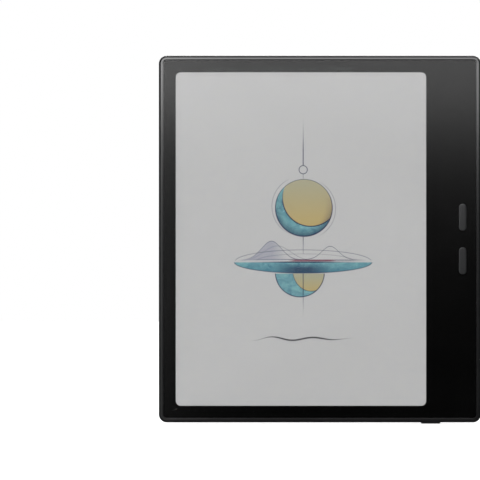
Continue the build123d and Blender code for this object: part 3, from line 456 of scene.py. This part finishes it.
    # the disc's broken reflection under it
    mirror = oval(*sketch["mirror"])
    below = fill(z - sketch["mirrorTop"])
    lay(fill(mirror) * below * 0.92, tealWash)
    warm = oval(*sketch["mirrorLit"])
    warmFill = fill(least(mirror * -1, warm * -1) * -1)
    lay(warmFill * below * 0.92, finish.mix(finish.span(z, -22, -16), ochre, ochrePale))
    lay(stroke(warm, 0.12) * fill(mirror) * below * 0.8, navy)
    lay(stroke(mirror, 0.2) * below * 0.9, navy)
    lay(fill(plumb - finish.span(z, -22, -38, 0.17, gone)) * below * 0.85, navy)

    # a plain brush line under the picture, where a title would stand
    swing = finish.reckon("SINE", x * 0.36) * finish.span(x, -20, 20, 0.9, 0.3)
    brushWidth = finish.span((x + 0.6).size(), 25, 8, gone, 0.34)
    brush = stroke(z - sketch["brushHeight"] - swing, brushWidth)
    lay(brush * 0.9, tone(look["ink"]))

    # the film darkened behind the border as painted shade; it also hides a faint light strip over
    # the window
    fromMid = (x - sketch["pageMid"]).size()
    for far, start in ((z.size(), sketch["pageHigh"]), (fromMid, sketch["pageWide"])):
        lay(finish.span(far, start, start + sketch["marginShadeFade"]), tone(look["marginShade"]))

    finish.raised(grain, 0.002)
    return finish.done(picture, finish.span(fibre, 0.3, 0.7, 0.84, 0.94))


# the margin tone is painted shade on the film behind the border
screenLook = {"paper": "bdbdbe", "paperWarm": "c0c0bf", "paperDark": "b0b0b1", "navy": "2b3050",
              "teal": "74a9ae", "tealDeep": "3f7488", "ochre": "b8a36c", "ochrePale": "aaa58a",
              "wine": "7d3f52", "mist": "84879c", "ink": "2a2b30", "marginShade": "0a0a0b",
              "axis": -7.1, "soft": 0.28}


def rolledSheet(name, look):
    # sheet metal with its rolling lines and a few handling smudges
    finish = Finish(name, Metallic=1.0)
    lines = finish.noise(look["line"], detail=4, rough=0.6, stretch=look["along"])
    smudge = finish.noise(look["smudge"], detail=3, warp=0.5)
    colour = finish.mix(finish.span(smudge, 0.3, 0.7), tone(look["dark"]), tone(look["light"]))
    colour = finish.mix(finish.span(lines, 0.4, 0.7) * 0.3, colour, tone(look["line1"]))
    rough = finish.span(lines, 0.3, 0.7, look["rough"] - 0.07, look["rough"] + 0.07)
    rough = rough + finish.span(smudge, 0.45, 0.7, 0.0, 0.08)
    finish.raised(lines, look["depth"])
    return finish.done(colour, rough)


chassisLook = {"light": "a9abae", "dark": "9a9ca0", "line1": "c2c4c6", "rough": 0.38, "line": 0.25,
               "along": (0.04, 1, 1), "smudge": 22, "depth": 0.002}
steelLook = {"light": "b9b8b4", "dark": "a6a5a2", "line1": "cfcecb", "rough": 0.3, "line": 0.12,
             "along": (1, 1, 0.05), "smudge": 5, "depth": 0.001}
magnetLook = {"light": "b8b6ae", "dark": "a7a59d", "line1": "c9c7c0", "rough": 0.25, "line": 0.2,
              "along": (1, 1, 1), "smudge": 3, "depth": 0.001}


def turnedSteel(look):
    # small machine screws: turning rings, oil-dark in random patches
    finish = Finish("turned_steel", Metallic=1.0)
    ring = finish.noise(0.15, detail=3)
    oil = finish.noise(0.9, detail=2)
    finish.raised(ring, 0.002)
    colour = finish.mix(finish.span(oil, 0.35, 0.7), tone(look["bright"]), tone(look["oiled"]))
    return finish.done(colour, finish.span(ring, 0.3, 0.7, 0.24, 0.4))


screwLook = {"bright": "8f8f92", "oiled": "5e5e61"}


def pouchFoil(look):
    # laminated aluminium pouch: pressed dimples, long soft creases with painted shade in their low
    # parts, dull sheen
    finish = Finish("pouch_foil", Metallic=0.75)
    crease = finish.noise(9, detail=4, rough=0.55, warp=1.4, stretch=(1, 1, 0.4))
    dimple = finish.cells(0.9, feature="SMOOTH_F1")
    finish.raised(crease, 0.25, 0.6)
    finish.raised(dimple, 0.01)
    # painted shade: the foil colour follows the creases, darker where they sink and lighter where
    # they rise
    colour = finish.mix(finish.span(crease, 0.35, 0.65), tone(look["dark"]), tone(look["light"]))
    return finish.done(colour, finish.span(dimple, 0.1, 0.7, 0.32, 0.45))


foilLook = {"light": "b4b5b6", "dark": "9b9c9e"}


def wovenMesh(look):
    # fine woven dust cloth over the speakers
    finish = Finish("speaker_cloth", Specular_IOR_Level=0.3)
    warp = finish.waves(look["thread"], "Z")
    weft = finish.waves(look["thread"], "Y")
    weave = finish.reckon("MAXIMUM", warp, weft)
    fuzz = finish.noise(0.3, detail=2)
    finish.raised(weave, look["thread"] * 0.3)
    colour = finish.mix(finish.span(weave, 0.4, 0.95), tone(look["hole"]), tone(look["yarn"]))
    return finish.done(colour, finish.span(fuzz, 0.3, 0.7, 0.65, 0.85))


clothLook = {"thread": 0.16, "hole": "060607", "yarn": "242528"}


def solderMask(look):
    # dark green mask over copper tracks, with drilled vias and tinned pads
    finish = Finish("board_mask", Specular_IOR_Level=0.5, Coat_Weight=0.25, Coat_Roughness=0.2)
    route = finish.cells(1.7, feature="DISTANCE_TO_EDGE", stray=0.55)
    track = 1 - finish.span(route, 0.05, 0.08)
    via = 1 - finish.span(finish.cells(2.3), 0.07, 0.1)
    weave = finish.noise(0.25, detail=2)
    colour = finish.mix(finish.span(weave, 0.3, 0.7), tone(look["mask"]), tone(look["maskLight"]))
    colour = finish.mix(track * 0.7, colour, tone(look["track"]))
    colour = finish.mix(via, colour, tone(look["tin"]))
    finish.raised(track + via, 0.03)
    rough = finish.span(weave, 0.3, 0.7, 0.32, 0.42)
    return finish.done(colour, rough, via * 0.9)


boardLook = {"mask": "0d2a22", "maskLight": "12352b", "track": "1f5844", "tin": "c9c4b4"}


def chipEpoxy(look):
    # mould compound: fine sandblasted skin with lighter filler grains
    finish = Finish("chip_epoxy", Specular_IOR_Level=0.4)
    grain = finish.noise(0.07, detail=2)
    filler = finish.cells(0.22)
    finish.raised(grain, 0.006)
    colour = finish.mix(finish.span(grain, 0.3, 0.7), tone(look["dark"]), tone(look["face"]))
    colour = finish.mix(1 - finish.span(filler, 0.08, 0.2), colour, tone(look["filler"]))
    return finish.done(colour, finish.span(grain, 0.3, 0.7, 0.5, 0.65))


chipLook = {"face": "26272a", "dark": "1a1b1d", "filler": "3a3b3e"}


def copperFlex(name, look):
    # amber film with copper lines running inside it
    finish = Finish(name, Specular_IOR_Level=0.5, Coat_Weight=0.3, Coat_Roughness=0.15)
    lines = finish.waves(look["pitch"], look["across"])
    mottle = finish.noise(3, detail=3)
    copper = finish.span(lines, 0.45, 0.6)
    colour = finish.mix(finish.span(mottle, 0.3, 0.7), tone(look["film"]), tone(look["filmDark"]))
    colour = finish.mix(copper * 0.8, colour, tone(look["copper"]))
    finish.raised(lines, 0.01)
    return finish.done(colour, finish.span(mottle, 0.3, 0.7, 0.25, 0.38), copper * 0.5)


flexLook = {"film": "7a4a1c", "filmDark": "633a15", "copper": "b87a3c", "pitch": 0.5,
            "across": "X"}
sideFlexLook = {**flexLook, "across": "Z"}
aerialLook = {"film": "1d1d20", "filmDark": "151517", "copper": "6e5134", "pitch": 1.6,
              "across": "Z"}


def lampPhosphor(look):
    # white package with a yellow phosphor window
    finish = Finish("lamp_phosphor", Subsurface_Weight=0.1)
    finish.shader.inputs["Subsurface Radius"].default_value = (0.0003, 0.0002, 0.0001)
    powder = finish.noise(0.12, detail=2)
    window = finish.span(finish.cells(0.8), 0.2, 0.4)
    finish.raised(powder, 0.004)
    colour = finish.mix(window, tone(look["phosphor"]), tone(look["shell"]))
    return finish.done(colour, finish.span(powder, 0.3, 0.7, 0.45, 0.6))


lampLook = {"phosphor": "d9c13f", "shell": "dcdcd6"}


def backplaneGlass(look):
    # driver glass behind the film: grey-green, with the faint grid of its pixels
    finish = Finish("backplane_glass", Specular_IOR_Level=0.5, Coat_Weight=0.4,
                    Coat_Roughness=0.08)
    grid = finish.reckon("MAXIMUM", finish.waves(0.3, "X"), finish.waves(0.3, "Z"))
    haze = finish.noise(12, detail=3)
    colour = finish.mix(finish.span(haze, 0.3, 0.7), tone(look["glass"]), tone(look["haze"]))
    colour = finish.mix(finish.span(grid, 0.9, 1.0) * 0.4, colour, tone(look["grid"]))
    finish.raised(grid, 0.001)
    return finish.done(colour, finish.span(haze, 0.3, 0.7, 0.12, 0.22))


backplaneLook = {"glass": "3c4643", "haze": "46504d", "grid": "202725"}


def openFoam(look):
    # slow black foam: open cells of mixed size, their hollows darkened as painted shade
    finish = Finish("open_foam", Specular_IOR_Level=0.2)
    pores = finish.cells(0.45, feature="SMOOTH_F1")
    small = finish.cells(0.18)
    height = finish.span(pores, 0.05, 0.6) + small * 0.4
    finish.raised(height, 0.08)
    # painted shade: the pore hollows take the dark tone, the cell walls the lighter skin
    colour = finish.mix(finish.span(pores, 0.1, 0.5), tone(look["poreShade"]), tone(look["skin"]))
    return finish.done(colour, finish.span(small, 0.0, 0.6, 0.85, 0.97))


foamLook = {"poreShade": "0c0c0d", "skin": "2a2a2c"}


def softTape(name, look):
    # pressure-sensitive tape: carrier fibres and trapped air
    finish = Finish(name, Specular_IOR_Level=0.4)
    fibre = finish.noise(0.4, detail=3, stretch=(0.15, 1, 1))
    air = finish.cells(2.2)
    finish.raised(fibre, 0.006)
    colour = finish.mix(finish.span(fibre, 0.35, 0.65), tone(look["dark"]), tone(look["light"]))
    colour = finish.mix(1 - finish.span(air, 0.1, 0.25), colour, tone(look["air"]))
    return finish.done(colour, finish.span(fibre, 0.3, 0.7, look["rough"], look["rough"] + 0.12))


tapeLook = {"light": "dddcd6", "dark": "cbc9c1", "air": "ecece8", "rough": 0.45}
glueLook = {"light": "1b1b1d", "dark": "131314", "air": "252528", "rough": 0.5}
leadLook = {"light": "2d2422", "dark": "231b1a", "air": "5c2a24", "rough": 0.4}


def goldContact(look):
    # hard gold over nickel, wiped by plugging
    finish = Finish("contact_gold", Metallic=1.0)
    wipe = finish.noise(0.06, detail=3, stretch=(0.1, 1, 1))
    finish.raised(wipe, 0.0008)
    colour = finish.mix(finish.span(wipe, 0.35, 0.65), tone(look["gold"]), tone(look["worn"]))
    return finish.done(colour, finish.span(wipe, 0.3, 0.7, 0.2, 0.34))


goldLook = {"gold": "d9b25a", "worn": "c49a48"}


# every CAD node gets its finish through its own slots
dressing = [
    (etchedGlass(glassLook), ["cover_glass"]),
    (screenInk(inkLook), ["border_print"]),
    (clearLayer("optical_bond", bondLook), ["optical_adhesive"]),
    (clearLayer("touch_film", filmLook), ["touch_sensor"]),
    (clearLayer("light_guide_film", guideLook), ["light_guide"]),
    (paperScreen(screenLook), ["epaper_film"]),
    (backplaneGlass(backplaneLook), ["epaper_backplane"]),
    (openFoam(foamLook), ["display_foam"]),
    (softTape("black_bond_tape", glueLook), ["glass_adhesive"]),
    (softTape("white_pull_tape", tapeLook), ["battery_tape"]),
    (softTape("battery_lead_film", leadLook), ["battery_lead"]),
    (mouldedPlastic("frame_satin", frameLook), ["middle_frame", "card_tray"]),
    (mouldedPlastic("cover_satin", coverLook), ["rear_cover"]),
    (mouldedPlastic("key_satin", keyLook), ["page_up_key", "page_down_key", "power_key"]),
    (mouldedPlastic("inner_moulding", carrierLook),
     ["grip_carrier", "page_up_plunger", "page_down_plunger", "power_plunger", "usb_tongue",
      "card_socket", "upper_speaker", "lower_speaker"]),
    (mouldedPlastic("seal_silicone", sealLook), ["tray_seal"]),
    (grainedHide("grained_hide", hideLook), ["rear_main_panel", "rear_grip_panel"]),
    (rolledSheet("chassis_sheet", chassisLook), ["chassis_plate"]),
    (rolledSheet("tinned_steel", steelLook),
     ["usb_shell", "shield_can", "page_up_switch", "page_down_switch", "power_switch"]),
    (rolledSheet("magnet_nickel_plate", magnetLook), ["case_magnets"]),
    (turnedSteel(screwLook), ["chassis_screws", "board_screws"]),
    (pouchFoil(foilLook), ["battery_cell"]),
    (wovenMesh(clothLook), ["upper_speaker_mesh", "lower_speaker_mesh"]),
    (solderMask(boardLook), ["main_board", "battery_board"]),
    (chipEpoxy(chipLook),
     ["driver_chips", "processor", "memory_chip", "storage_chip", "power_chip", "radio_chip",
      "hall_sensor", "motion_sensor", "microphone", "memory_card"]),
    (copperFlex("amber_flex", flexLook), ["display_flex", "touch_flex"]),
    (copperFlex("amber_side_flex", sideFlexLook), ["light_flex", "power_flex"]),
    (copperFlex("black_aerial_film", aerialLook), ["aerial_flex"]),
    (lampPhosphor(lampLook), ["light_leds"]),
    (plugNylon(nylonLook), ["board_plugs"]),
]
for material, names in dressing:
    for name in names:
        slots = nodes[name].material_slots
        for slot in slots:
            slot.material = material
        if not slots:
            nodes[name].data.materials.append(material)
undressed = set(nodes) - {name for _, names in dressing for name in names}
nodes["border_print"].visible_diffuse = False  # the page stays even up to its edges
print("nodes dressed:", len(nodes) - len(undressed), "left bare:", sorted(undressed))


plateSoft = {"share": 0.3, "steps": 2}  # rounding as a share of the thinnest side


def plateRow(name, body, material, plates):
    # thin softened plates joined in one mesh: each is (middle, size) in metres
    made = bmesh.new()
    for middle, size in plates:
        corners = bmesh.ops.create_cube(made, size=1)["verts"]
        bmesh.ops.scale(made, vec=size, verts=corners)
        bmesh.ops.translate(made, vec=middle, verts=corners)
    mesh = bpy.data.meshes.new(name)
    made.to_mesh(mesh)
    made.free()
    piece = bpy.data.objects.new(name, mesh)
    bpy.context.scene.collection.objects.link(piece)
    soft = piece.modifiers.new("softened", "BEVEL")
    soft.width = min(plates[0][1]) * plateSoft["share"]
    soft.segments = plateSoft["steps"]
    mesh.materials.append(material)
    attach(piece, body)
    return piece


contactGold = goldContact(goldLook)
usbPins = {"count": 12, "pitch": 0.5, "wide": 0.28, "long": 3.0, "thick": 0.05, "tongue": 0.7,
           "fromTip": 0.7}
cardPads = {"count": 8, "pitch": 1.1, "wide": 0.8, "long": 2.6, "thick": 0.03, "fromEnd": 0.9}


def usbContacts(pins):
    low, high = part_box("usb_tongue")
    middle = (low + high) / 2
    plates = []
    for side in (-1, 1):
        for index in range(pins["count"]):
            up = (index - (pins["count"] - 1) / 2) * pins["pitch"]
            spot = Vector((high.x - (pins["fromTip"] + pins["long"] / 2) * mm,
                           middle.y + side * (pins["tongue"] + pins["thick"] * 0.8) / 2 * mm,
                           middle.z + up * mm))
            plates.append((spot, Vector((pins["long"], pins["thick"], pins["wide"])) * mm))
    plateRow("usb_contacts", "reader", contactGold, plates)


def cardContacts(pads):
    low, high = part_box("memory_card")
    middle = (low + high) / 2
    plates = []
    for index in range(pads["count"]):
        up = (index - (pads["count"] - 1) / 2) * pads["pitch"]
        spot = Vector((low.x + (pads["fromEnd"] + pads["long"] / 2) * mm,
                       high.y + pads["thick"] * 0.3 * mm, middle.z + up * mm))
        plates.append((spot, Vector((pads["long"], pads["thick"], pads["wide"])) * mm))
    plateRow("card_contacts", "card_tray", contactGold, plates)


usbContacts(usbPins)
cardContacts(cardPads)
print("contacts laid")

studio = {"scale": 0.2041, "distance": 2.4, "sideways": -33.98, "drop": -0.4,  # view, m and mm
          "cameraWhite": 1.0, "skyLight": 1.0, "mirrorSky": 0.012, "mirrorTop": 0.3,
          "mirrorRear": 0.03, "ceilingLow": 0.45, "ceilingHigh": 0.95, "rearLow": 0.1,
          "rearHigh": 0.9, "sensor": 36, "nearest": 0.1, "farthest": 20}
# each soft box: place and aim from the reader's middle, width and height in metres, radiance
softBoxes = {
    "overhead_box": {"place": (0.0085, -0.12, 0.1218), "aim": (0.0414, 0, 0.10), "wide": 0.333,
                     "high": 0.133, "glow": 2.25, "onDiffuse": False},
    "left_box": {"place": (-0.0888, -0.08, 0.0246), "aim": (0.0272, 0, -0.0053), "wide": 0.0804,
                 "high": 0.279, "glow": 0.811, "onDiffuse": False},
    "rear_box": {"place": (0.05, 0.2, 0.24), "aim": (0, 0, 0.06), "wide": 0.4,
                 "high": 0.12, "glow": 11.0, "onDiffuse": False},
    "rear_fill": {"place": (-0.35, 0.45, 0.35), "aim": (0, 0, 0), "wide": 0.4,
                  "high": 0.4, "glow": 1.6, "onDiffuse": True},
}


def aimAt(thing, target):
    away = Vector(target) - thing.location
    thing.rotation_euler = away.to_track_quat("-Z", "Y").to_euler()


def softBox(name, box):
    lamp = bpy.data.lights.new(name, "AREA")
    lamp.shape = "RECTANGLE"
    lamp.size, lamp.size_y = box["wide"], box["high"]
    lamp.energy = box["glow"] * math.pi * box["wide"] * box["high"]
    thing = bpy.data.objects.new(name, lamp)
    bpy.context.scene.collection.objects.link(thing)
    middle = Vector((0, 0, bodyMid))
    thing.location = middle + Vector(box["place"])
    aimAt(thing, middle + Vector(box["aim"]))
    thing.visible_camera = False
    thing.visible_diffuse = box["onDiffuse"]


for name, box in softBoxes.items():
    softBox(name, box)

# the camera, mirrors and everything else each see a sky of their own
world = bpy.data.worlds.new("studio")
bpy.context.scene.world = world
world.use_nodes = True
tree = world.node_tree
tree.nodes.clear()
path = tree.nodes.new("ShaderNodeLightPath")
skies = []
for strength in (studio["skyLight"], studio["mirrorSky"], studio["cameraWhite"]):
    sky = tree.nodes.new("ShaderNodeBackground")
    sky.inputs["Color"].default_value = (1, 1, 1, 1)
    sky.inputs["Strength"].default_value = strength
    skies.append(sky)
# mirrors see a dark room with a lighter ceiling
upward = tree.nodes.new("ShaderNodeSeparateXYZ")
tree.links.new(tree.nodes.new("ShaderNodeTexCoord").outputs["Generated"], upward.inputs[0])
ceiling = tree.nodes.new("ShaderNodeMapRange")
ceiling.interpolation_type = "SMOOTHSTEP"
for label, value in (("From Min", studio["ceilingLow"]), ("From Max", studio["ceilingHigh"]),
                     ("To Min", studio["mirrorSky"]), ("To Max", studio["mirrorTop"])):
    ceiling.inputs[label].default_value = value
tree.links.new(upward.outputs["Z"], ceiling.inputs["Value"])
rearWall = tree.nodes.new("ShaderNodeMapRange")
rearWall.interpolation_type = "SMOOTHSTEP"
for label, value in (("From Min", studio["rearLow"]), ("From Max", studio["rearHigh"]),
                     ("To Min", 0.0), ("To Max", studio["mirrorRear"])):
    rearWall.inputs[label].default_value = value
tree.links.new(upward.outputs["Y"], rearWall.inputs["Value"])
room = tree.nodes.new("ShaderNodeMath")
tree.links.new(ceiling.outputs["Result"], room.inputs[0])
tree.links.new(rearWall.outputs["Result"], room.inputs[1])
tree.links.new(room.outputs[0], skies[1].inputs["Strength"])
forMirror = tree.nodes.new("ShaderNodeMixShader")
forCamera = tree.nodes.new("ShaderNodeMixShader")
skyOut = tree.nodes.new("ShaderNodeOutputWorld")
tree.links.new(path.outputs["Is Glossy Ray"], forMirror.inputs[0])
tree.links.new(skies[0].outputs[0], forMirror.inputs[1])
tree.links.new(skies[1].outputs[0], forMirror.inputs[2])
tree.links.new(path.outputs["Is Camera Ray"], forCamera.inputs[0])
tree.links.new(forMirror.outputs[0], forCamera.inputs[1])
tree.links.new(skies[2].outputs[0], forCamera.inputs[2])
tree.links.new(forCamera.outputs[0], skyOut.inputs["Surface"])
world.cycles.sampling_method = "NONE"

floorLook = {"radius": 3.0, "paper": "f7f7f6", "fold": "f2f2f1", "glow": 0.55, "sides": 96,
             "gap": 0.02, "cloud": 300, "fibre": 3, "rough": 0.9}


def paleFloor(look):
    # a broad sheet of white paper under the reader
    mesh = bpy.data.meshes.new("studio_floor")
    made = bmesh.new()
    bmesh.ops.create_circle(made, cap_ends=True, cap_tris=False, segments=look["sides"],
                            radius=look["radius"])
    made.to_mesh(mesh)
    made.free()
    floor = bpy.data.objects.new("studio_floor", mesh)
    bpy.context.scene.collection.objects.link(floor)
    floor.location.z = cadBox[0].z - look["gap"] * mm
    finish = Finish("studio_paper", Specular_IOR_Level=0.0, Emission_Strength=look["glow"])
    finish.shader.inputs["Emission Color"].default_value = (1, 1, 1, 1)
    cloud = finish.noise(look["cloud"], detail=2)
    fibre = finish.noise(look["fibre"], detail=2)
    finish.raised(fibre, 0.02)
    colour = finish.mix(cloud, tone(look["fold"]), tone(look["paper"]))
    floor.data.materials.append(finish.done(colour, look["rough"]))
    floor.visible_glossy = False
    floor.visible_diffuse = False


paleFloor(floorLook)

lens = bpy.data.cameras.new("studio_camera")
lens.sensor_width = studio["sensor"]
lens.lens = studio["sensor"] * studio["distance"] / studio["scale"]
lens.clip_start, lens.clip_end = studio["nearest"], studio["farthest"]
camera = bpy.data.objects.new("studio_camera", lens)
bpy.context.scene.collection.objects.link(camera)
camera.location = (studio["sideways"] * mm, frontFace - studio["distance"],
                   bodyMid + studio["drop"] * mm)
camera.rotation_euler = (math.radians(90), 0, 0)
bpy.context.scene.camera = camera
bpy.context.scene.view_settings.view_transform = "Standard"
bpy.context.scene.cycles.transparent_max_bounces = 24
print("studio set")
